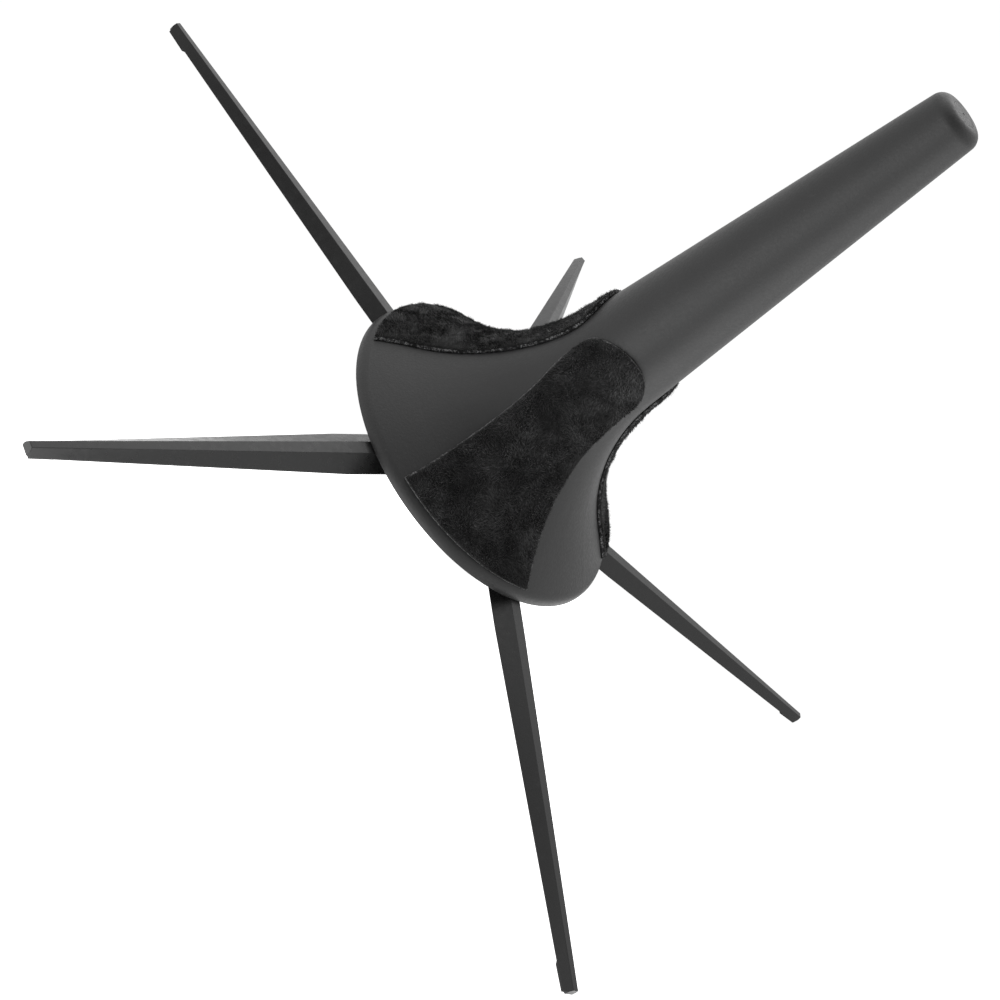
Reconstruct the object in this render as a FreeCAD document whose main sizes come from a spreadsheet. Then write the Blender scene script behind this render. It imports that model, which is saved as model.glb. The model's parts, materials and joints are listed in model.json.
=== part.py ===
"""Trumpet stand: a bell peg with a flared skirt on a five-legged folding base.

Sizes are in millimetres. The origin is on the peg's axis at floor level, +Z up, and one leg points
along -X. Each leg, pin, foot and pad is drawn along +X and then turned about Z to its place.
"""
import FreeCAD, Part
import Sketcher
import math
import os

SIZES = {
    # The peg and its skirt: a straight taper that a large fillet joins to the flare.
    "peg_height": 183.74,
    "peg_top_radius": 8.38,
    "peg_taper": 3.825,
    "flare_angle": 53.35,
    "flare_fillet": 58.75,
    "rim_radius": 52.3,
    "rim_height": 10.7,
    "lip_radius": 4.4,
    "peg_edge": 3.6,
    "wall": 2.0,
    "top_wall": 3.5,
    # The plug in the peg's tip.
    "plug_head_radius": 3.9,
    "plug_head": 1.45,
    "plug_stem_radius": 2.8,
    "plug_length": 8.0,
    "plug_dimple": 0.45,
    # The pads on the skirt.
    "pad_gap": 0.05,
    "pad_thickness": 1.35,
    "pad_half_width": 12.2,
    "pad_round_height": 64.3,
    "pad_flare_height": 52.0,
    "pad_flare_radius": 60.4,
    "pad_low_edge": 0.1,
    # The hub, its cover and its screw.
    "hub_radius": 15.5,
    "hub_bottom": 8.5,
    "hub_top": 14.5,
    "hub_core_radius": 8.2,
    "spigot_radius": 5.0,
    "spigot_top": 34.0,
    "groove_height": 26.95,
    "groove_radius": 3.3,
    "groove_width": 1.9,
    "ring_radius": 4.17,
    "ring_section": 0.85,
    "pilot_radius": 1.55,
    "pilot_top": 19.0,
    "cover_radius": 18.0,
    "cover_bottom": 5.6,
    "cover_top": 8.45,
    "screw_radius": 1.5,
    "screw_head_radius": 2.85,
    "screw_top": 17.5,
    "screw_slot": 0.7,
    # The hinge of each leg.
    "pin_place": 11.0,
    "pin_height": 11.15,
    "pin_radius": 1.25,
    "pin_length": 13.0,
    "knuckle_radius": 2.6,
    "neck_width": 7.0,
    "hinge_play": 0.05,
    # The legs: sections at the root, where they leave the skirt and at the tip.
    "tip_radius": 165.0,
    "tip_top": 3.2,
    "tip_bottom": 0.5,
    "top_droop": 3.7,
    "bottom_droop": 3.113,
    "leg_root": 17.0,
    "leg_waist": 61.0,
    "root_ridge": 4.2,
    "root_width": 13.6,
    "waist_ridge": 3.7,
    "waist_width": 13.2,
    "tip_ridge": 1.8,
    "tip_width": 4.5,
    "tip_chamfer": 0.8,
    # The feet.
    "foot_start": 155.5,
    "foot_end": 164.3,
    "foot_width": 4.1,
    "foot_stem_place": 160.0,
    "foot_stem_radius": 0.9,
    "foot_stem_top": 1.9,
    # The socket inside the skirt.
    "bore_radius": 5.1,
    "tube_radius": 7.0,
    "tube_bottom": 14.55,
    "tube_top": 36.0,
    "web_thickness": 1.6,
    "web_inner": 6.0,
    "web_low": 15.2,
    "web_top": 45.0,
    "bond_gap": 0.1,
}
LEG_AZIMUTHS = [180, 252, 324, 36, 108]
# Each pad's azimuth, and how far it leans to one side, in degrees.
PADS = [(177.6, 2.0), (294.5, 2.5), (51.3, 0)]
WEB_AZIMUTH = 0

doc = FreeCAD.newDocument("trumpet_stand")
sheet = doc.addObject("Spreadsheet::Sheet", "sizes")
for row, (alias, number) in enumerate(SIZES.items(), start=1):
    sheet.set(f"A{row}", alias)
    sheet.set(f"B{row}", str(number))
    sheet.setAlias(f"B{row}", alias)
doc.recompute()

V_AXIS = -2
H_AXIS = -1
ORIGIN = (-1, 1)


# Places on the peg's outline, as expressions. An inset is measured inward from its outer face.
LIP_X = "(sizes.rim_radius - sizes.lip_radius)"
LIP_Z = "sizes.rim_height"
TO_FLARE = (f"(sizes.flare_fillet + sizes.lip_radius + cos(sizes.flare_angle) * {LIP_X}"
            f" + sin(sizes.flare_angle) * {LIP_Z})")
TO_PEG = ("(sizes.flare_fillet + cos(sizes.peg_taper) * sizes.peg_top_radius"
          " + sin(sizes.peg_taper) * sizes.peg_height)")
TURN = "sin(sizes.flare_angle - sizes.peg_taper)"
FILLET_X = (f"(({TO_PEG} * sin(sizes.flare_angle)"
            f" - {TO_FLARE} * sin(sizes.peg_taper)) / {TURN})")
FILLET_Z = (f"(({TO_FLARE} * cos(sizes.peg_taper)"
            f" - {TO_PEG} * cos(sizes.flare_angle)) / {TURN})")


def lip_end(inset, down="0"):
    """The flare's lower end, or a point on its line further up by the given length."""
    reach = f"(sizes.lip_radius - {inset})"
    return (f"{LIP_X} + {reach} * cos(sizes.flare_angle) - {down} * sin(sizes.flare_angle)",
            f"{LIP_Z} + {reach} * sin(sizes.flare_angle) + {down} * cos(sizes.flare_angle)")


def flare_end(inset):
    """Where the flare's straight part meets the large fillet."""
    reach = f"(sizes.flare_fillet + {inset})"
    return (f"{FILLET_X} - {reach} * cos(sizes.flare_angle)",
            f"{FILLET_Z} - {reach} * sin(sizes.flare_angle)")


def peg_start(inset):
    """Where the large fillet meets the peg's straight taper."""
    reach = f"(sizes.flare_fillet + {inset})"
    return (f"{FILLET_X} - {reach} * cos(sizes.peg_taper)",
            f"{FILLET_Z} - {reach} * sin(sizes.peg_taper)")


def peg_at(height, inset):
    """A point on the peg's straight taper at the given height."""
    radius = (f"sizes.peg_top_radius + (sizes.peg_height - ({height})) * tan(sizes.peg_taper)"
              f" - {inset} / cos(sizes.peg_taper)")
    return (radius, height)


def new_body(name):
    body = doc.addObject("PartDesign::Body", name)
    body.Label = name
    return body


def turn_to(thing, azimuth):
    """Turns a sub-part drawn along +X about the peg's axis."""
    thing.Placement = FreeCAD.Placement(FreeCAD.Vector(0, 0, 0),
                                        FreeCAD.Rotation(FreeCAD.Vector(0, 0, 1), azimuth))


def new_sketch(body, name, role="XZ_Plane", offset=None):
    """A sketch on one of the body's own origin planes, moved along its normal by an expression."""
    sketch = body.newObject("Sketcher::SketchObject", name)
    plane = next(f for f in body.Origin.OriginFeatures if f.Role == role)
    sketch.AttachmentSupport = [(plane, "")]
    sketch.MapMode = "FlatFace"
    if offset:
        sketch.setExpression("AttachmentOffset.Base.z", offset)
    return sketch


def value_of(expression):
    """The number that an expression over the sheet gives now."""
    result = sheet.evalExpression(expression)
    return float(getattr(result, "Value", result))


def bind(sketch, kind, references, expression):
    """Adds a dimension and binds it to the sheet."""
    index = sketch.addConstraint(Sketcher.Constraint(kind, *references, value_of(expression)))
    sketch.setExpression(f"Constraints[{index}]", expression)


def fix_point(sketch, edge, end, place):
    """Holds one end of an edge at a place given by two expressions."""
    for kind, axis, expression in (("DistanceX", V_AXIS, place[0]), ("DistanceY", H_AXIS, place[1])):
        if expression == "0":
            sketch.addConstraint(Sketcher.Constraint("PointOnObject", edge, end, axis))
        else:
            bind(sketch, kind, (*ORIGIN, edge, end), expression)


def arc_between(start, finish, radius, side):
    """The short arc from start to finish, with its centre to the left (side 1) or right (-1)."""
    chord = finish - start
    left = FreeCAD.Vector(-chord.y, chord.x, 0).normalize()
    rise = math.sqrt(max(radius ** 2 - (chord.Length / 2) ** 2, 0))
    centre = (start + finish) * 0.5 + left * rise * side
    first, last = (start, finish) if side > 0 else (finish, start)
    angles = [math.atan2(p.y - centre.y, p.x - centre.x) for p in (first, last)]
    circle = Part.Circle(centre, FreeCAD.Vector(0, 0, 1), radius)
    return Part.ArcOfCircle(circle, *angles)


def outline(sketch, corners, arcs=None):
    """A closed outline. arcs maps a corner's index to (radius, side) for the arc that follows it."""
    arcs = arcs or {}
    places = [FreeCAD.Vector(value_of(x), value_of(y), 0) for x, y in corners]
    edges = []
    for i, start in enumerate(places):
        finish = places[(i + 1) % len(places)]
        if i in arcs:
            radius, side = arcs[i]
            edge = sketch.addGeometry(arc_between(start, finish, value_of(radius), side), False)
            bind(sketch, "Radius", (edge,), radius)
            edges.append((edge, 1, 2) if side > 0 else (edge, 2, 1))
        else:
            edges.append((sketch.addGeometry(Part.LineSegment(start, finish), False), 1, 2))
    for i, (edge, start, finish) in enumerate(edges):
        after, after_start, _ = edges[(i + 1) % len(edges)]
        sketch.addConstraint(Sketcher.Constraint("Coincident", edge, finish, after, after_start))
        fix_point(sketch, edge, start, corners[i])


def circle(sketch, place, radius):
    """A circle at a place given by two expressions."""
    centre = FreeCAD.Vector(value_of(place[0]), value_of(place[1]), 0)
    edge = sketch.addGeometry(Part.Circle(centre, FreeCAD.Vector(0, 0, 1), value_of(radius)), False)
    bind(sketch, "Radius", (edge,), radius)
    fix_point(sketch, edge, 3, place)


def revolve(body, sketch, name, angle=360):
    feature = body.newObject("PartDesign::Revolution", name)
    feature.Profile = sketch
    feature.ReferenceAxis = (sketch, ["V_Axis"])
    feature.Angle = angle
    feature.Midplane = angle < 360
    doc.recompute()
    return feature


def pad(body, sketch, name, length, both_sides=True):
    """Adds material, on both sides of the sketch or on the side that its normal points to."""
    feature = body.newObject("PartDesign::Pad", name)
    feature.Profile = sketch
    feature.setExpression("Length", length)
    feature.Midplane = both_sides
    doc.recompute()
    return feature


def pocket(body, sketch, name, length, both_sides=True):
    """Cuts on both sides of the sketch or on the side that its normal points to."""
    before = body.Shape.Volume
    feature = body.newObject("PartDesign::Pocket", name)
    feature.Profile = sketch
    feature.setExpression("Length", length)
    feature.Midplane = both_sides
    feature.Reversed = not both_sides
    doc.recompute()
    if not feature.Shape.Volume < before:
        raise RuntimeError(f"{body.Label}: {name} cuts nothing")
    return feature


def repeat_round(body, features, name, count, sketch):
    """Repeats features about the peg's axis, which is the sketch's own vertical axis."""
    pattern = body.newObject("PartDesign::PolarPattern", name)
    pattern.Originals = features
    pattern.Axis = (sketch, ["V_Axis"])
    pattern.Angle = 360
    pattern.Occurrences = count
    body.Tip = pattern
    doc.recompute()
    return pattern


def make_cone_shell():
    """The hollow peg and skirt, with a counterbored hole for the plug in its tip."""
    body = new_body("cone_shell")
    sketch = new_sketch(body, "cone_outline")
    edge_tilt = "tan((90 - sizes.peg_taper) / 2)"
    edge_top = f"sizes.peg_top_radius - sizes.peg_edge * {edge_tilt}"
    edge_low = f"sizes.peg_height - sizes.peg_edge * {edge_tilt} * cos(sizes.peg_taper)"
    ceiling = "sizes.peg_height - sizes.top_wall"
    head_hole = "sizes.plug_head_radius + sizes.hinge_play * 2"
    head_floor = "sizes.peg_height - sizes.plug_head - sizes.hinge_play"
    stem_hole = "sizes.plug_stem_radius + sizes.hinge_play"
    corners = [
        ("sizes.rim_radius", "sizes.rim_height"),
        lip_end("0"),
        flare_end("0"),
        peg_start("0"),
        peg_at(edge_low, "0"),
        (edge_top, "sizes.peg_height"),
        (head_hole, "sizes.peg_height"),
        (head_hole, head_floor),
        (stem_hole, head_floor),
        (stem_hole, ceiling),
        peg_at(ceiling, "sizes.wall"),
        peg_start("sizes.wall"),
        flare_end("sizes.wall"),
        lip_end("sizes.wall"),
        ("sizes.rim_radius - sizes.wall", "sizes.rim_height"),
    ]
    arcs = {
        0: ("sizes.lip_radius", 1),
        2: ("sizes.flare_fillet", -1),
        4: ("sizes.peg_edge", 1),
        11: ("sizes.flare_fillet + sizes.wall", 1),
        13: ("sizes.lip_radius - sizes.wall", -1),
    }
    outline(sketch, corners, arcs)
    revolve(body, sketch, "cone_wall")
    return body


def make_hub_socket():
    """The tube that takes the hub's spigot, carried by webs that reach the skirt's inner face."""
    body = new_body("hub_socket")
    tube = new_sketch(body, "tube_outline")
    outline(tube, [("sizes.bore_radius", "sizes.tube_bottom"), ("sizes.tube_radius", "sizes.tube_bottom"),
                   ("sizes.tube_radius", "sizes.tube_top"), ("sizes.bore_radius", "sizes.tube_top")])
    revolve(body, tube, "tube")
    web = new_sketch(body, "web_outline")
    inset = "(sizes.wall + sizes.bond_gap)"
    low = lip_end(inset)
    reach = f"(sizes.flare_fillet + {inset})"
    top = (f"{FILLET_X} - sqrt({reach} ^ 2 - ({FILLET_Z} - sizes.web_top) ^ 2)", "sizes.web_top")
    corners = [
        ("sizes.web_inner", "sizes.web_low"),
        ("sizes.cover_radius", "sizes.web_low"),
        ("sizes.cover_radius + sizes.wall", low[1]),
        low,
        flare_end(inset),
        top,
        ("sizes.web_inner", "sizes.tube_top"),
    ]
    outline(web, corners, {4: (reach, -1)})
    web_pad = pad(body, web, "web", "sizes.web_thickness")
    repeat_round(body, [web_pad], "webs", len(LEG_AZIMUTHS), web)
    turn_to(body, WEB_AZIMUTH)
    return body


def make_end_plug():
    """The press-in plug: a round head flush with the peg's tip, with a dimple in its middle."""
    body = new_body("end_plug")
    sketch = new_sketch(body, "plug_outline")
    foot = "sizes.peg_height - sizes.plug_length"
    underside = "sizes.peg_height - sizes.plug_head"
    outline(sketch, [
        ("0", foot),
        ("sizes.plug_stem_radius - 2 * sizes.plug_dimple", foot),
        ("sizes.plug_stem_radius", f"{foot} + 2 * sizes.plug_dimple"),
        ("sizes.plug_stem_radius", underside),
        ("sizes.plug_head_radius", underside),
        ("sizes.plug_head_radius", "sizes.peg_height"),
        ("sizes.plug_dimple", "sizes.peg_height"),
        ("0", "sizes.peg_height - sizes.plug_dimple"),
    ])
    revolve(body, sketch, "plug")
    return body


def make_bell_pad(index, azimuth, lean):
    """A velour pad: a strip of even thickness that follows the skirt, round at its top end."""
    body = new_body(f"bell_pad_{index}")
    layer = new_sketch(body, f"pad_{index}_layer")
    under = "(-sizes.pad_gap)"
    over = "(-sizes.pad_gap - sizes.pad_thickness)"
    height = "sizes.pad_round_height + 2 * sizes.pad_half_width"
    outline(layer, [lip_end(under, "sizes.pad_low_edge"), lip_end(over, "sizes.pad_low_edge"),
                    flare_end(over), peg_start(over), peg_at(height, over),
                    peg_at(height, under), peg_start(under), flare_end(under)],
            {2: (f"sizes.flare_fillet + {over}", -1), 6: (f"sizes.flare_fillet + {under}", 1)})
    revolve(body, layer, f"pad_{index}_strip", 110)
    cut = new_sketch(body, f"pad_{index}_cut", "YZ_Plane")
    pivot = FreeCAD.Vector(0, SIZES["rim_height"], 0)
    cut.AttachmentOffset = FreeCAD.Placement(
        FreeCAD.Vector(), FreeCAD.Rotation(FreeCAD.Vector(0, 0, 1), lean), pivot)
    low = "(0.5 * sizes.rim_height)"
    drop = f"(sizes.pad_flare_height - {low})"
    spread = (f"(sizes.pad_half_width + sizes.pad_flare_radius"
              f" - sqrt(sizes.pad_flare_radius ^ 2 - {drop} ^ 2))")
    beyond = "1.5 * sizes.rim_radius"
    crown = "sizes.pad_round_height + sizes.pad_half_width"
    outline(cut, [("0", crown), ("-sizes.pad_half_width", "sizes.pad_round_height"),
                  ("-sizes.pad_half_width", "sizes.pad_flare_height"), (f"-{spread}", low),
                  (f"-{beyond}", low), (f"-{beyond}", f"2 * ({crown})"),
                  (beyond, f"2 * ({crown})"), (beyond, low), (spread, low),
                  ("sizes.pad_half_width", "sizes.pad_flare_height"),
                  ("sizes.pad_half_width", "sizes.pad_round_height")],
            {0: ("sizes.pad_half_width", 1), 2: ("sizes.pad_flare_radius", -1),
             8: ("sizes.pad_flare_radius", -1), 10: ("sizes.pad_half_width", 1)})
    pocket(body, cut, f"pad_{index}_shape", beyond, both_sides=False)
    turn_to(body, azimuth)
    return body


def make_hub_body():
    """The hub: a disc with a slot and a pin saddle for each leg, and a spigot with a ring groove."""
    body = new_body("hub_body")
    profile = new_sketch(body, "hub_outline")
    edge = "2 * sizes.plug_dimple"
    groove_low = "sizes.groove_height - sizes.groove_width / 2"
    groove_high = "sizes.groove_height + sizes.groove_width / 2"
    outline(profile, [
        ("sizes.pilot_radius", "sizes.hub_bottom"),
        ("sizes.hub_radius", "sizes.hub_bottom"),
        ("sizes.hub_radius", f"sizes.hub_top - {edge}"),
        (f"sizes.hub_radius - {edge}", "sizes.hub_top"),
        ("sizes.spigot_radius", "sizes.hub_top"),
        ("sizes.spigot_radius", groove_low),
        ("sizes.groove_radius", groove_low),
        ("sizes.groove_radius", groove_high),
        ("sizes.spigot_radius", groove_high),
        ("sizes.spigot_radius", f"sizes.spigot_top - {edge}"),
        (f"sizes.spigot_radius - {edge}", "sizes.spigot_top"),
        ("0", "sizes.spigot_top"),
        ("0", "sizes.pilot_top"),
        ("sizes.pilot_radius", "sizes.pilot_top"),
    ])
    revolve(body, profile, "hub_turned")
    slot = new_sketch(body, "leg_slot_outline")
    outline(slot, [("sizes.hub_core_radius", "sizes.hub_bottom - 1"),
                   ("sizes.hub_radius + 1", "sizes.hub_bottom - 1"),
                   ("sizes.hub_radius + 1", "sizes.hub_top + 1"),
                   ("sizes.hub_core_radius", "sizes.hub_top + 1")])
    slot_cut = pocket(body, slot, "leg_slot", "sizes.neck_width + 4 * sizes.hinge_play")
    saddle = new_sketch(body, "saddle_outline")
    reach = "(sizes.pin_radius + sizes.hinge_play / 2)"
    outline(saddle, [(f"sizes.pin_place - {reach}", "sizes.hub_bottom - 1"),
                     (f"sizes.pin_place + {reach}", "sizes.hub_bottom - 1"),
                     (f"sizes.pin_place + {reach}", "sizes.pin_height"),
                     ("sizes.pin_place", f"sizes.pin_height + {reach}"),
                     (f"sizes.pin_place - {reach}", "sizes.pin_height")],
            {2: (reach, 1), 3: (reach, 1)})
    saddle_cut = pocket(body, saddle, "pin_saddle", "sizes.pin_length + 4 * sizes.hinge_play")
    repeat_round(body, [slot_cut, saddle_cut], "leg_places", len(LEG_AZIMUTHS), slot)
    turn_to(body, LEG_AZIMUTHS[0])
    return body


def make_hub_cover():
    """The plate under the hub. Its keepers fill the saddles below the pins."""
    body = new_body("hub_cover")
    profile = new_sketch(body, "cover_outline")
    hole = "sizes.screw_radius + 2 * sizes.hinge_play"
    sink = "sizes.screw_head_radius + 2 * sizes.hinge_play"
    sink_top = "sizes.cover_bottom + sizes.screw_head_radius - sizes.screw_radius"
    outline(profile, [(hole, "sizes.cover_top"), ("sizes.cover_radius", "sizes.cover_top"),
                      ("sizes.cover_radius", "sizes.cover_bottom + sizes.screw_radius"),
                      ("sizes.cover_radius - sizes.screw_radius", "sizes.cover_bottom"),
                      (sink, "sizes.cover_bottom"), (hole, sink_top)])
    revolve(body, profile, "cover_plate")
    keeper = new_sketch(body, "keeper_outline")
    reach = "(sizes.pin_radius - sizes.hinge_play)"
    top = "sizes.pin_height - sizes.pin_radius - sizes.hinge_play"
    outline(keeper, [(f"sizes.pin_place - {reach}", "sizes.cover_top - 1"),
                     (f"sizes.pin_place + {reach}", "sizes.cover_top - 1"),
                     (f"sizes.pin_place + {reach}", top), (f"sizes.pin_place - {reach}", top)])
    keeper_pad = pad(body, keeper, "keeper", "sizes.pin_length")
    gap = new_sketch(body, "keeper_gap_outline")
    outline(gap, [("sizes.hub_core_radius", "sizes.cover_top"), ("sizes.hub_radius", "sizes.cover_top"),
                  ("sizes.hub_radius", "sizes.hub_top"), ("sizes.hub_core_radius", "sizes.hub_top")])
    gap_cut = pocket(body, gap, "keeper_gap", "sizes.neck_width + 8 * sizes.hinge_play")
    repeat_round(body, [keeper_pad, gap_cut], "keepers", len(LEG_AZIMUTHS), keeper)
    turn_to(body, LEG_AZIMUTHS[0])
    return body


def make_hub_screw():
    """The countersunk screw with a cross recess, seen from below."""
    body = new_body("hub_screw")
    profile = new_sketch(body, "screw_outline")
    bottom = "sizes.cover_bottom + sizes.hinge_play"
    outline(profile, [
        ("0", bottom),
        ("sizes.screw_head_radius", bottom),
        ("sizes.screw_radius", f"{bottom} + sizes.screw_head_radius - sizes.screw_radius"),
        ("sizes.screw_radius", "sizes.screw_top - sizes.screw_radius"),
        ("0", "sizes.screw_top"),
    ])
    revolve(body, profile, "screw_turned")
    for name, role in (("slot_a", "XZ_Plane"), ("slot_b", "YZ_Plane")):
        slot = new_sketch(body, f"{name}_outline", role)
        outline(slot, [("-sizes.screw_radius", "sizes.hinge_play"),
                       ("sizes.screw_radius", "sizes.hinge_play"),
                       ("sizes.screw_slot", f"{bottom} + sizes.screw_radius"),
                       ("-sizes.screw_slot", f"{bottom} + sizes.screw_radius")])
        pocket(body, slot, name, "sizes.screw_slot")
    return body


def make_grip_ring():
    """The rubber ring in the spigot's groove."""
    ring = doc.addObject("Part::Torus", "grip_ring")
    ring.Label = "grip_ring"
    ring.setExpression("Radius1", "sizes.ring_radius")
    ring.setExpression("Radius2", "sizes.ring_section")
    ring.setExpression("Placement.Base.z", "sizes.groove_height")
    return ring


def leg_section(body, index, name, place, ridge, width):
    """One section across a leg: a narrow flat ridge on top, sloping sides and a wide flat underside."""
    sketch = new_sketch(body, f"leg_{index}_{name}", "YZ_Plane", place)
    inward = f"(sizes.tip_radius - {place})"
    top = f"sizes.tip_top + {inward} * tan(sizes.top_droop)"
    bottom = f"sizes.tip_bottom + {inward} * tan(sizes.bottom_droop)"
    outline(sketch, [(f"-{width} / 2", bottom), (f"{width} / 2", bottom),
                     (f"{ridge} / 2", top), (f"-{ridge} / 2", top)])
    return sketch


def make_leg(index, azimuth):
    """A tapering leg with a knuckle at its root and a blind hole for its foot."""
    body = new_body(f"leg_{index}")
    root = leg_section(body, index, "root", "sizes.leg_root", "sizes.root_ridge", "sizes.root_width")
    waist = leg_section(body, index, "waist", "sizes.leg_waist", "sizes.waist_ridge", "sizes.waist_width")
    tip = leg_section(body, index, "tip", "sizes.tip_radius", "sizes.tip_ridge", "sizes.tip_width")
    loft = body.newObject("PartDesign::AdditiveLoft", f"leg_{index}_bar")
    loft.Profile = root
    loft.Sections = [waist, tip]
    loft.Ruled = True
    doc.recompute()
    neck = new_sketch(body, f"leg_{index}_neck_outline")
    low = "sizes.pin_height - sizes.knuckle_radius"
    end = "sizes.leg_root + sizes.wall / 2"
    end_low = "sizes.tip_bottom + (sizes.tip_radius - sizes.leg_root) * tan(sizes.bottom_droop)"
    end_high = "sizes.tip_top + (sizes.tip_radius - sizes.leg_root) * tan(sizes.top_droop)"
    outline(neck, [("sizes.pin_place", low), (end, end_low), (end, f"{end_high} - sizes.wall / 2"),
                   ("sizes.pin_place", "sizes.pin_height + sizes.knuckle_radius")])
    pad(body, neck, f"leg_{index}_neck", "sizes.neck_width")
    knuckle = new_sketch(body, f"leg_{index}_knuckle_outline")
    circle(knuckle, ("sizes.pin_place", "sizes.pin_height"), "sizes.knuckle_radius")
    pad(body, knuckle, f"leg_{index}_knuckle", "sizes.neck_width")
    bore = new_sketch(body, f"leg_{index}_bore_outline")
    circle(bore, ("sizes.pin_place", "sizes.pin_height"), "sizes.pin_radius + sizes.hinge_play")
    pocket(body, bore, f"leg_{index}_bore", "2 * sizes.neck_width")
    hole = new_sketch(body, f"leg_{index}_foot_hole_outline", "XY_Plane")
    circle(hole, ("sizes.foot_stem_place", "0"), "sizes.foot_stem_radius + sizes.hinge_play")
    pocket(body, hole, f"leg_{index}_foot_hole", "sizes.foot_stem_top + 2 * sizes.hinge_play", False)
    nose = new_sketch(body, f"leg_{index}_nose_outline", "XY_Plane")
    near = "sizes.tip_width / 2 - sizes.tip_chamfer"
    wide = "sizes.tip_width / 2 + sizes.tip_chamfer"
    back = "sizes.tip_radius - 2 * sizes.tip_chamfer"
    beyond = "sizes.tip_radius + sizes.tip_chamfer"
    outline(nose, [("sizes.tip_radius", near), (back, wide), (beyond, wide),
                   (beyond, f"-({wide})"), (back, f"-({wide})"), ("sizes.tip_radius", f"-({near})")])
    pocket(body, nose, f"leg_{index}_nose", "4 * sizes.tip_top", False)
    turn_to(body, azimuth)
    return body


def make_leg_foot(index, azimuth):
    """A rubber wedge under the leg's tip, flat on the floor, with a stem that plugs into the leg."""
    body = new_body(f"leg_foot_{index}")
    side = new_sketch(body, f"foot_{index}_side")

    def under_leg(place):
        rise = f"(sizes.tip_radius - {place}) * tan(sizes.bottom_droop)"
        return (place, f"sizes.tip_bottom + {rise} - sizes.hinge_play / 2")

    slant = "2 * sizes.tip_chamfer"
    outline(side, [(f"sizes.foot_start + {slant}", "0"), ("sizes.foot_end", "0"),
                   under_leg("sizes.foot_end"), under_leg("sizes.foot_start")])
    pad(body, side, f"foot_{index}_wedge", "sizes.foot_width")
    stem = new_sketch(body, f"foot_{index}_stem_outline", "XY_Plane")
    circle(stem, ("sizes.foot_stem_place", "0"), "sizes.foot_stem_radius")
    pad(body, stem, f"foot_{index}_stem", "sizes.foot_stem_top", both_sides=False)
    turn_to(body, azimuth)
    return body


def make_leg_pin(index, azimuth):
    """The steel pin of one leg's hinge, lying square to the leg."""
    pin = doc.addObject("Part::Cylinder", f"leg_pin_{index}")
    pin.Label = f"leg_pin_{index}"
    pin.setExpression("Radius", "sizes.pin_radius")
    pin.setExpression("Height", "sizes.pin_length")
    lying = FreeCAD.Placement(
        FreeCAD.Vector(value_of("sizes.pin_place"), value_of("sizes.pin_length / 2"),
                       value_of("sizes.pin_height")),
        FreeCAD.Rotation(FreeCAD.Vector(1, 0, 0), 90))
    turn = FreeCAD.Placement(FreeCAD.Vector(0, 0, 0),
                             FreeCAD.Rotation(FreeCAD.Vector(0, 0, 1), azimuth))
    pin.Placement = turn.multiply(lying)
    return pin


parts = [make_cone_shell(), make_hub_socket(), make_end_plug(),
         make_hub_body(), make_hub_cover(), make_hub_screw(), make_grip_ring()]
for number, (angle, tilt) in enumerate(PADS, start=1):
    parts.append(make_bell_pad(number, angle, tilt))
for number, angle in enumerate(LEG_AZIMUTHS, start=1):
    parts += [make_leg(number, angle), make_leg_foot(number, angle), make_leg_pin(number, angle)]
doc.recompute()

for thing in doc.Objects:
    if {"Invalid", "Error"} & set(thing.State):
        raise RuntimeError(f"{thing.Name} failed: {thing.State}")
for part in parts:
    shape = part.Shape
    if shape.isNull() or not shape.isValid() or len(shape.Solids) != 1:
        raise RuntimeError(f"{part.Label}: {len(shape.Solids)} solids, valid {shape.isValid()}")

os.makedirs("parts", exist_ok=True)
for part in parts:
    part.Shape.exportStep(f"parts/{part.Label}.step")
    box = part.Shape.optimalBoundingBox()
    print(f"{part.Label:12s} {part.Shape.Volume:9.1f} mm3"
          f"  x {box.XMin:7.2f} {box.XMax:7.2f}  y {box.YMin:7.2f} {box.YMax:7.2f}"
          f"  z {box.ZMin:6.2f} {box.ZMax:6.2f}")
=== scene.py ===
"""Looks for a folding trumpet stand: a matte peg with velour pads on five slim legs, in metres, +Z up."""
import json
import math

import bmesh
import bpy
import numpy as np
from mathutils import Matrix, Vector, noise
from mathutils.bvhtree import BVHTree
from mathutils.kdtree import KDTree


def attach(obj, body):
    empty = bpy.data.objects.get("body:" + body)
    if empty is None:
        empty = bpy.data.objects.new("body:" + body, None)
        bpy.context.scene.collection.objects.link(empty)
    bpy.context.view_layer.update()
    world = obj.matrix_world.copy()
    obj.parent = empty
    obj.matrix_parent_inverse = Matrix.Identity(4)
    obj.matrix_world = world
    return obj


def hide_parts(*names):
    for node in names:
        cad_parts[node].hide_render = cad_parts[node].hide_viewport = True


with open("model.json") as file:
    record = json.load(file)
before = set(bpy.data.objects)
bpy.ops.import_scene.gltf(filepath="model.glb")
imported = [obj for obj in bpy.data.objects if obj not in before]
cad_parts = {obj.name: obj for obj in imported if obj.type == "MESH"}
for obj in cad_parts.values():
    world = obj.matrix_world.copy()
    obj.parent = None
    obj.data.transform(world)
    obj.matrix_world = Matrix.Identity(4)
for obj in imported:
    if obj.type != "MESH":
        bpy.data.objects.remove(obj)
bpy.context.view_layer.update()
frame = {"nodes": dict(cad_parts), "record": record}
NODES = frame["nodes"]
MM = 0.001

# The camera looks down on the stand and is rolled, so that the peg leans to the upper right.
CAMERA_AIM = Vector((14.34, 0.59, 5.93)) * MM
CAMERA_DISTANCE = 524.9 * MM
CAMERA_AZIMUTH = math.radians(2.339)
CAMERA_ELEVATION = math.radians(31.0)
CAMERA_ROLL = math.radians(55.63)
CAMERA_LENS = 61.48

# The numbers of a colour Mix node's sockets: its share, its two colours and its result.
MIX_SHARE = 0
MIX_FIRST = 6
MIX_SECOND = 7
MIX_RESULT = 2

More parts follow.
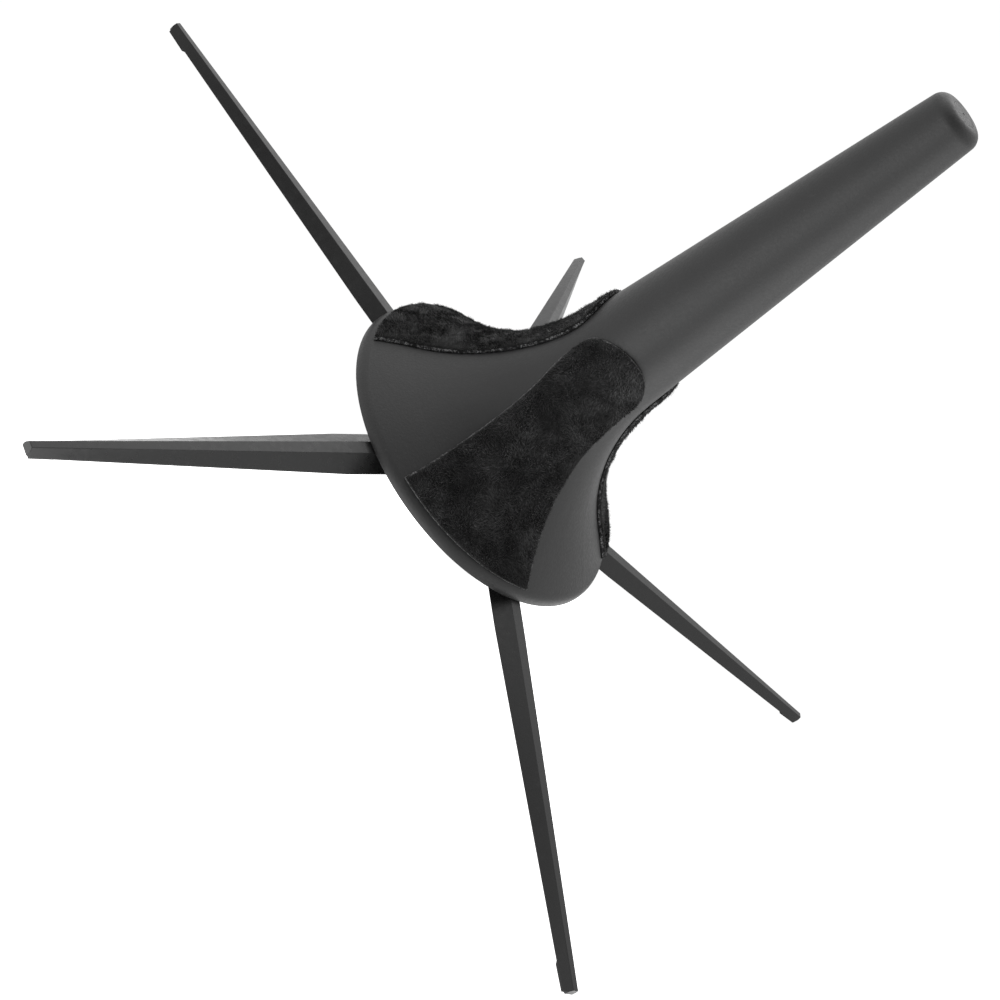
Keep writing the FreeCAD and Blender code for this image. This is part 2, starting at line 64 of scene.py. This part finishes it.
# The pads: the remeshed cushion, whose layers run from 0 at the skirt to 1 at the top of the pile.
PAD_COUNT = 3
PAD_WELD = 0.001 * MM
PAD_VOXEL = 0.36 * MM
PAD_THICKNESS = 1.4 * MM
PILE_SHARE = 0.84
PAD_ROUNDING = 4
NAP_HEIGHT = 0.16 * MM
NAP_PATCH = 7.0 * MM
NAP_TUFT = 1.4 * MM
EDGE_FRAY = 0.12 * MM
FRAY_SIZE = 0.6 * MM

# The pile's fibres. They lean in patches and droop a little. At the pad's edge a fibre has RIM_LENGTH of
# its length, and the share grows by 1 for every RIM_WIDTH inwards, until the fibre is whole.
FIBRE_COUNT = 20000
FIBRE_LENGTH = 1.7 * MM
FIBRE_WIDTH = 0.22 * MM
FIBRE_ROOT = 0.1 * MM
FIBRE_SEED = 7
LEAN_PATCH = 9 * MM
LEAN_TUFT = 2.5 * MM
LEAN = 1.6
LEAN_SCATTER = 0.28
DROOP = 0.45
RIM_WIDTH = 3.0 * MM
RIM_LENGTH = 0.3

# The stage: how bright the floor is, and the beams that lamps throw on it. A beam is its azimuth from
# the front, its half width, both in degrees, and the brightness that it adds.
FLOOR_RADIUS = 60
FLOOR_DROP = 0.1 * MM
FLOOR_LIGHT = 1.02
FLOOR_BEAMS = [(0, 34, 1.5), (82, 38, 1.4)]
WORLD_LIGHT = 1.0
WORLD_DARK = 0.3
WORLD_DARK_SIDE = (0.05, -0.55, 0.83)
WORLD_DARK_START = 0.6


def make_camera():
    data = bpy.data.cameras.new("camera")
    data.sensor_width = 36
    data.lens = CAMERA_LENS
    camera = bpy.data.objects.new("camera", data)
    bpy.context.scene.collection.objects.link(camera)
    level = math.cos(CAMERA_ELEVATION)
    back = Vector((math.sin(CAMERA_AZIMUTH) * level, -math.cos(CAMERA_AZIMUTH) * level,
                   math.sin(CAMERA_ELEVATION)))
    turn = (-back).to_track_quat("-Z", "Y").to_matrix().to_4x4()
    camera.matrix_world = (Matrix.Translation(CAMERA_AIM + back * CAMERA_DISTANCE) @ turn
                           @ Matrix.Rotation(CAMERA_ROLL, 4, "Z"))
    bpy.context.scene.camera = camera


# Materials

class Nodes:
    """A material's node tree, with a short way to add a node, set its values and link it."""

    def __init__(self, name):
        self.material = bpy.data.materials.new(name)
        self.material.use_nodes = True
        self.tree = self.material.node_tree
        self.surface = self.tree.nodes["Principled BSDF"]

    def add(self, kind, inputs=None, **settings):
        node = self.tree.nodes.new("ShaderNode" + kind)
        for name, value in settings.items():
            setattr(node, name, value)
        for name, value in (inputs or {}).items():
            self.put(node, name, value)
        return node

    def put(self, node, name, value):
        if isinstance(value, bpy.types.NodeSocket):
            self.tree.links.new(value, node.inputs[name])
        else:
            node.inputs[name].default_value = value

    def noise(self, place, size, detail, roughness=0.5):
        """Noise with features about this size, in metres."""
        node = self.add("TexNoise", {"Vector": place, "Scale": 1 / size, "Detail": detail,
                                     "Roughness": roughness})
        return node.outputs["Fac"]

    def spread(self, value, low, high, start=0.3, end=0.7):
        """A value that runs from start to end, mapped to run from low to high."""
        node = self.add("MapRange", {"Value": value, "From Min": start, "From Max": end,
                                     "To Min": low, "To Max": high})
        return node.outputs["Result"]

    def blend(self, share, first, second, kind="MIX"):
        """A colour that goes from first to second, or to their product, as share goes from 0 to 1."""
        node = self.add("Mix", data_type="RGBA", blend_type=kind)
        self.put(node, MIX_SHARE, share)
        self.put(node, MIX_FIRST, first)
        self.put(node, MIX_SECOND, second)
        return node.outputs[MIX_RESULT]

    def maths(self, operation, first, second):
        node = self.add("Math", operation=operation)
        self.put(node, 0, first)
        self.put(node, 1, second)
        return node.outputs[0]

    def object_place(self):
        return self.add("TexCoord").outputs["Object"]

    def stretched(self, place, stretch):
        return self.add("Mapping", {"Vector": place, "Scale": stretch}).outputs["Vector"]

    def bump(self, height, depth, normal=None):
        node = self.add("Bump", {"Height": height, "Distance": depth, "Strength": 1.0})
        if normal is not None:
            self.put(node, "Normal", normal)
        return node.outputs["Normal"]


def grey(value):
    return (value, value, value * 1.01, 1)


def plastic(name, shade, roughness, grain, grain_depth, streak_depth=0.0, edge=0.0, shine=0.5):
    """Moulded plastic: a fine grain and, where they are set, flow streaks along Z and rounded edges.

    Shade is its mean tone and shine the strength of its reflections, which is 0.5 for common plastic.
    """
    nodes = Nodes(name)
    place = nodes.object_place()
    cloud = nodes.noise(place, 14 * MM, 3)
    grains = nodes.noise(place, grain, 2, 0.6)
    tone = nodes.blend(nodes.spread(cloud, 0, 1), grey(shade * 0.9), grey(shade * 1.1))
    fleck = nodes.blend(nodes.spread(grains, 0, 1, 0.6, 0.75), tone, grey(shade * 1.6))
    nodes.put(nodes.surface, "Base Color", fleck)
    nodes.put(nodes.surface, "Roughness", nodes.spread(grains, roughness - 0.05, roughness + 0.06))
    nodes.put(nodes.surface, "Specular IOR Level", shine)
    normal = None
    if edge:
        normal = nodes.add("Bevel", {"Radius": edge}, samples=6).outputs["Normal"]
    if streak_depth:
        streaks = nodes.noise(nodes.stretched(place, (1, 1, 0.09)), 3.2 * MM, 2)
        normal = nodes.bump(streaks, streak_depth, normal)
    normal = nodes.bump(grains, grain_depth, normal)
    nodes.put(nodes.surface, "Normal", normal)
    return nodes.material


def rubber(name, shade, roughness):
    """Black rubber with a little dust on it."""
    nodes = Nodes(name)
    place = nodes.object_place()
    dust = nodes.noise(place, 0.9 * MM, 4, 0.7)
    nodes.put(nodes.surface, "Base Color",
              nodes.blend(nodes.spread(dust, 0, 1, 0.45, 0.75), grey(shade), grey(shade * 1.8)))
    nodes.put(nodes.surface, "Roughness", nodes.spread(dust, roughness, roughness + 0.12))
    nodes.put(nodes.surface, "Specular IOR Level", 0.35)
    nodes.put(nodes.surface, "Normal", nodes.bump(dust, 0.03 * MM))
    return nodes.material


def steel(name):
    """Turned steel, with fine rings and a slightly uneven tone."""
    nodes = Nodes(name)
    place = nodes.object_place()
    scratch = nodes.noise(nodes.stretched(place, (1, 1, 8)), 0.5 * MM, 3, 0.7)
    nodes.put(nodes.surface, "Base Color",
              nodes.blend(scratch, (0.42, 0.42, 0.43, 1), (0.62, 0.62, 0.63, 1)))
    nodes.put(nodes.surface, "Metallic", 1.0)
    nodes.put(nodes.surface, "Roughness", nodes.spread(scratch, 0.24, 0.4))
    nodes.put(nodes.surface, "Normal", nodes.bump(scratch, 0.01 * MM))
    return nodes.material


def velour_body():
    """The cloth under the pile: a pale speckled band on its cut edge between bands of painted shade, and a
    black top.
    """
    nodes = Nodes("velour_body")
    place = nodes.object_place()
    layer = nodes.add("Attribute", attribute_name="layer").outputs["Fac"]
    weave = nodes.noise(place, 0.45 * MM, 2, 0.7)
    tufts = nodes.spread(nodes.noise(place, 1.6 * MM, 2, 0.6), 0, 1, 0.4, 0.6)
    specks = nodes.maths("MULTIPLY", nodes.spread(weave, 0, 1, 0.45, 0.62), tufts)
    foam = nodes.blend(specks, grey(0.008), grey(0.19))
    # Near-black cut edge below and above the pale band: painted shade at the skirt and under the rolled
    # pile.
    core_between_painted_shade = nodes.maths("MULTIPLY", nodes.spread(layer, 0, 1, 0.14, 0.3),
                       nodes.spread(layer, 1, 0, 0.64, 0.78))
    edge = nodes.blend(core_between_painted_shade, grey(0.004), foam)
    nap = nodes.noise(place, 5 * MM, 3, 0.6)
    pile = nodes.blend(nodes.spread(nap, 0, 1), grey(0.006), grey(0.016))
    top = nodes.spread(layer, 0, 1, PILE_SHARE - 0.08, PILE_SHARE)
    nodes.put(nodes.surface, "Base Color", nodes.blend(top, edge, pile))
    nodes.put(nodes.surface, "Roughness", nodes.spread(weave, 0.85, 1.0))
    nodes.put(nodes.surface, "Specular IOR Level", 0.1)
    nodes.put(nodes.surface, "Sheen Weight", nodes.spread(nap, 0.15, 0.3))
    nodes.put(nodes.surface, "Sheen Roughness", 0.4)
    nodes.put(nodes.surface, "Normal", nodes.bump(weave, 0.09 * MM))
    return nodes.material


def velour_fibre():
    """The pile's fibres: nearly black, each with a tone of its own, lighter and darker in patches: painted
    nap sheen.
    """
    nodes = Nodes("velour_fibre")
    place = nodes.object_place()
    tone = nodes.add("Attribute", attribute_name="tone").outputs["Fac"]
    # Painted nap sheen: the fibres' colour is scaled from 0.3 to 1.7 times in patches about 10 mm across.
    painted_sheen_level = nodes.spread(nodes.noise(place, 10 * MM, 2, 0.5), 0.3, 1.7, 0.38, 0.62)
    dark = nodes.blend(nodes.spread(tone, 0, 1, 0.2, 0.9), grey(0.010), grey(0.03))
    colour = nodes.blend(nodes.spread(tone, 0, 1, 0.97, 1.0), dark, grey(0.06))
    painted_sheen_colour = nodes.add("CombineXYZ", {"X": painted_sheen_level, "Y": painted_sheen_level, "Z": painted_sheen_level}).outputs[0]
    nodes.put(nodes.surface, "Base Color", nodes.blend(1.0, colour, painted_sheen_colour, "MULTIPLY"))
    nodes.put(nodes.surface, "Roughness", nodes.spread(tone, 0.6, 0.45))
    nodes.put(nodes.surface, "Specular IOR Level", 0.35)
    nodes.put(nodes.surface, "Sheen Weight", 0.12)
    nodes.put(nodes.surface, "Sheen Roughness", 0.4)
    return nodes.material


def paint(node, material):
    """Gives a CAD node's object one material."""
    materials = NODES[node].data.materials
    materials.clear()
    materials.append(material)


def paint_frame():
    finishes = {
        "cone_plastic": plastic("cone_plastic", 0.013, 0.48, 0.8 * MM, 0.06 * MM, 0.04 * MM),
        "inner_plastic": plastic("inner_plastic", 0.018, 0.45, 0.6 * MM, 0.006 * MM),
        "hub_plastic": plastic("hub_plastic", 0.018, 0.45, 0.6 * MM, 0.006 * MM, edge=0.25 * MM),
        "leg_plastic": plastic("leg_plastic", 0.007, 0.31, 2.0 * MM, 0.0015 * MM, edge=0.35 * MM,
                               shine=0.46),
        "foot_rubber": rubber("foot_rubber", 0.012, 0.6),
        "ring_rubber": rubber("ring_rubber", 0.008, 0.45),
        "steel": steel("steel"),
    }
    for part in frame["record"]["subparts"]:
        slot = part["material_slot"]
        if slot in finishes:
            paint(part["node"], finishes[slot])


# The velour pads

def surface_tree(node):
    """A tree for finding the nearest point on a CAD node."""
    mesh = NODES[node].data
    places = [v.co.copy() for v in mesh.vertices]
    return BVHTree.FromPolygons(places, [tuple(p.vertices) for p in mesh.polygons])


def wave(place, size, channel=0.0):
    """Smooth noise from about -1 to 1, with features about this size."""
    return noise.noise(place / size + Vector((channel, 2 * channel, 3 * channel)))


def vectors(mesh, what):
    """Every vertex's place ("co") or normal, as rows of an array."""
    values = np.zeros(len(mesh.vertices) * 3)
    mesh.vertices.foreach_get(what, values)
    return values.reshape(-1, 3)


def applied(thing):
    """The thing's mesh with its modifiers applied. The thing is removed."""
    graph = bpy.context.evaluated_depsgraph_get()
    mesh = bpy.data.meshes.new_from_object(thing.evaluated_get(graph), depsgraph=graph)
    bpy.data.objects.remove(thing)
    return mesh


def even_mesh(node):
    """A CAD pad's mesh, welded and remeshed evenly."""
    weld = bmesh.new()
    weld.from_mesh(NODES[node].data)
    bmesh.ops.remove_doubles(weld, verts=weld.verts, dist=PAD_WELD)
    mesh = bpy.data.meshes.new(node + "_start")
    weld.to_mesh(mesh)
    weld.free()
    start = bpy.data.objects.new(node + "_start", mesh)
    bpy.context.scene.collection.objects.link(start)
    remesh = start.modifiers.new("even", "REMESH")
    remesh.mode = "VOXEL"
    remesh.voxel_size = PAD_VOXEL
    return applied(start)


def rounded_mesh(name, mesh, layers):
    """The mesh with the upper half of its edge smoothed round."""
    cushion = bpy.data.objects.new(name, mesh)
    bpy.context.scene.collection.objects.link(cushion)
    group = cushion.vertex_groups.new(name="pile")
    for i, layer in enumerate(layers):
        group.add([i], min(1.0, max(0.0, (layer - 0.5) * 4)), "REPLACE")
    smooth = cushion.modifiers.new("round", "SMOOTH")
    smooth.factor = 0.5
    smooth.iterations = PAD_ROUNDING
    smooth.vertex_group = "pile"
    return applied(cushion)


def cushion_mesh(node, skirt):
    """A CAD pad remeshed evenly, its pile rounded over at the edges, its nap uneven and its edge frayed."""
    even = even_mesh(node)
    layers = [skirt.find_nearest(v.co)[3] / PAD_THICKNESS for v in even.vertices]
    rounded = rounded_mesh(node + "_even", even, layers)
    place, normal = vectors(rounded, "co"), vectors(rounded, "normal")
    for i, layer in enumerate(layers):
        spot = Vector(place[i])
        nap = NAP_HEIGHT * (wave(spot, NAP_PATCH) + 0.5 * wave(spot, NAP_TUFT))
        fray = EDGE_FRAY * wave(spot, FRAY_SIZE, 5)
        place[i] += normal[i] * (nap * max(0.0, 2 * layer - 1) + fray * (1 - abs(2 * layer - 1)))
    rounded.vertices.foreach_set("co", place.ravel())
    rounded.update()
    attribute = rounded.attributes.new("layer", "FLOAT", "POINT")
    attribute.data.foreach_set("value", np.array(layers, np.float32))
    return rounded


def unit(rows):
    """The rows of an array, each made one long."""
    return rows / np.maximum(np.linalg.norm(rows, axis=1), 1e-9)[:, None]


def scatter(cushion, draw):
    """Fibre roots spread evenly on the pile, the way out of the cloth there, and how long a fibre may be."""
    layer = np.zeros(len(cushion.vertices))
    cushion.attributes["layer"].data.foreach_get("value", layer)
    cushion.calc_loop_triangles()
    corners = np.zeros(len(cushion.loop_triangles) * 3, int)
    cushion.loop_triangles.foreach_get("vertices", corners)
    corners = corners.reshape(-1, 3)
    corners = corners[layer[corners].mean(1) > PILE_SHARE]
    place, normal = vectors(cushion, "co"), vectors(cushion, "normal")

    wall = np.flatnonzero(layer < PILE_SHARE)
    rim = KDTree(len(wall))
    for i in wall:
        rim.insert(place[i], i)
    rim.balance()

    a, b, c = (place[corners[:, i]] for i in range(3))
    area = np.linalg.norm(np.cross(b - a, c - a), axis=1)
    chosen = draw.choice(len(corners), FIBRE_COUNT, p=area / area.sum())
    share = np.sqrt(draw.random(FIBRE_COUNT))[:, None]
    across = draw.random(FIBRE_COUNT)[:, None]
    shares = (1 - share, share * (1 - across), share * across)
    root = sum(w * place[corners[chosen, i]] for i, w in enumerate(shares))
    out = unit(sum(w * normal[corners[chosen, i]] for i, w in enumerate(shares)))
    reach = np.array([min(1.0, RIM_LENGTH + rim.find(spot)[2] / RIM_WIDTH) for spot in root])
    return root, out, reach


def comb(root, out, draw):
    """The direction of each fibre: nearly flat on the cloth, in patches that lean different ways."""
    lean = np.zeros((FIBRE_COUNT, 3))
    for i, spot in enumerate(root):
        spot = Vector(spot)
        lean[i] = [wave(spot, LEAN_PATCH, 1 + k) + 0.5 * wave(spot, LEAN_TUFT, 4 + k) for k in range(3)]
    lean = lean * LEAN + np.array((0, 0, -DROOP)) + draw.normal(0, LEAN_SCATTER, (FIBRE_COUNT, 3))
    lean -= (lean * out).sum(1)[:, None] * out
    return unit(out * draw.uniform(0.25, 0.6, FIBRE_COUNT)[:, None] + lean)


def fibre_mesh(name, cushion, draw):
    """The pile's fibres: slim closed spikes with three sides, each with a tone of its own."""
    root, out, reach = scatter(cushion, draw)
    along = comb(root, out, draw)
    length = FIBRE_LENGTH * draw.uniform(0.6, 1.1, FIBRE_COUNT) * reach
    side = unit(np.cross(along, out))
    up = np.cross(side, along)
    width = (FIBRE_WIDTH * draw.uniform(0.6, 1.6, FIBRE_COUNT))[:, None]
    base = root - out * FIBRE_ROOT
    spikes = np.empty((FIBRE_COUNT, 4, 3))
    for k in range(3):
        turn = 2 * math.pi * k / 3
        spikes[:, k] = base + width / 2 * (side * math.cos(turn) + up * math.sin(turn))
    spikes[:, 3] = base + along * length[:, None]
    first = np.arange(FIBRE_COUNT)[:, None, None] * 4
    faces = first + np.array([[0, 2, 1], [0, 1, 3], [1, 2, 3], [2, 0, 3]])[None]
    mesh = bpy.data.meshes.new(name)
    mesh.from_pydata(spikes.reshape(-1, 3), [], faces.reshape(-1, 3))
    mesh.update()
    tone = mesh.attributes.new("tone", "FLOAT", "POINT")
    tone.data.foreach_set("value", np.repeat(draw.random(FIBRE_COUNT), 4).astype(np.float32))
    return mesh


def make_pads():
    skirt = surface_tree("cone_shell")
    body_look = velour_body()
    fibre_look = velour_fibre()
    for index in range(1, PAD_COUNT + 1):
        node = f"bell_pad_{index}"
        mesh = cushion_mesh(node, skirt)
        mesh.materials.clear()
        mesh.materials.append(body_look)
        for polygon in mesh.polygons:
            polygon.use_smooth = True
        cushion = bpy.data.objects.new(f"velour_pad_{index}", mesh)
        bpy.context.scene.collection.objects.link(cushion)
        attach(cushion, "cone")
        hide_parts(node)

        draw = np.random.default_rng(FIBRE_SEED + index)
        pile = bpy.data.objects.new(f"velour_pile_{index}", fibre_mesh(f"pile_{index}", mesh, draw))
        pile.data.materials.append(fibre_look)
        bpy.context.scene.collection.objects.link(pile)
        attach(pile, "cone")


# The stage

def make_floor():
    """A white floor with beams of light on it, which draw the soft streaks along the peg."""
    bpy.ops.mesh.primitive_circle_add(vertices=96, radius=FLOOR_RADIUS, fill_type="NGON",
                                      location=(0, 0, -FLOOR_DROP))
    floor = bpy.context.object
    floor.name = "floor"
    nodes = Nodes("floor")
    direction = nodes.add("VectorMath", {0: nodes.object_place()}, operation="NORMALIZE").outputs[0]
    light = FLOOR_LIGHT
    for azimuth, width, strength in FLOOR_BEAMS:
        azimuth, width = math.radians(azimuth), math.radians(width)
        middle = (math.sin(azimuth), -math.cos(azimuth), 0)
        near = nodes.add("VectorMath", {0: direction, 1: middle}, operation="DOT_PRODUCT")
        glow = nodes.add("MapRange", {"Value": near.outputs["Value"], "From Min": math.cos(width),
                                      "From Max": 1.0, "To Min": 0.0, "To Max": strength},
                         interpolation_type="SMOOTHSTEP")
        light = nodes.maths("ADD", glow.outputs["Result"], light)
    nodes.put(nodes.surface, "Base Color", (0, 0, 0, 1))
    nodes.put(nodes.surface, "Roughness", 1.0)
    nodes.put(nodes.surface, "Specular IOR Level", 0.0)
    nodes.put(nodes.surface, "Emission Color", (1, 1, 1, 1))
    nodes.put(nodes.surface, "Emission Strength", light)
    floor.data.materials.append(nodes.material)


def make_world():
    """Soft light from all sides, dimmer high up in front, where nothing bright stands in the room."""
    world = bpy.data.worlds.new("studio")
    bpy.context.scene.world = world
    world.use_nodes = True
    tree = world.node_tree
    direction = tree.nodes.new("ShaderNodeTexCoord").outputs["Generated"]
    toward = tree.nodes.new("ShaderNodeVectorMath")
    toward.operation = "DOT_PRODUCT"
    toward.inputs[1].default_value = WORLD_DARK_SIDE
    tree.links.new(direction, toward.inputs[0])
    light = tree.nodes.new("ShaderNodeMapRange")
    light.interpolation_type = "SMOOTHSTEP"
    for name, value in (("From Min", WORLD_DARK_START), ("From Max", 1.0),
                        ("To Min", WORLD_LIGHT), ("To Max", WORLD_DARK)):
        light.inputs[name].default_value = value
    tree.links.new(toward.outputs["Value"], light.inputs["Value"])
    background = tree.nodes["Background"]
    background.inputs["Color"].default_value = (1, 1, 1, 1)
    tree.links.new(light.outputs["Result"], background.inputs["Strength"])
    bpy.context.scene.view_settings.view_transform = "Standard"


def add_light(name, place, aim, size, power):
    """A square soft light."""
    data = bpy.data.lights.new(name, "AREA")
    data.size = size
    data.energy = power
    light = bpy.data.objects.new(name, data)
    bpy.context.scene.collection.objects.link(light)
    place = Vector(place)
    light.matrix_world = (Matrix.Translation(place)
                          @ (Vector(aim) - place).to_track_quat("-Z", "Y").to_matrix().to_4x4())


make_camera()
paint_frame()
make_pads()
make_floor()
make_world()
add_light("back_softbox", (-0.25, 0.6, 0.5), (0, 0, 0.05), 0.6, 1.0)
add_light("top_softbox", (-0.6, 0.1, 0.75), (0, 0, 0.03), 0.7, 0.7)
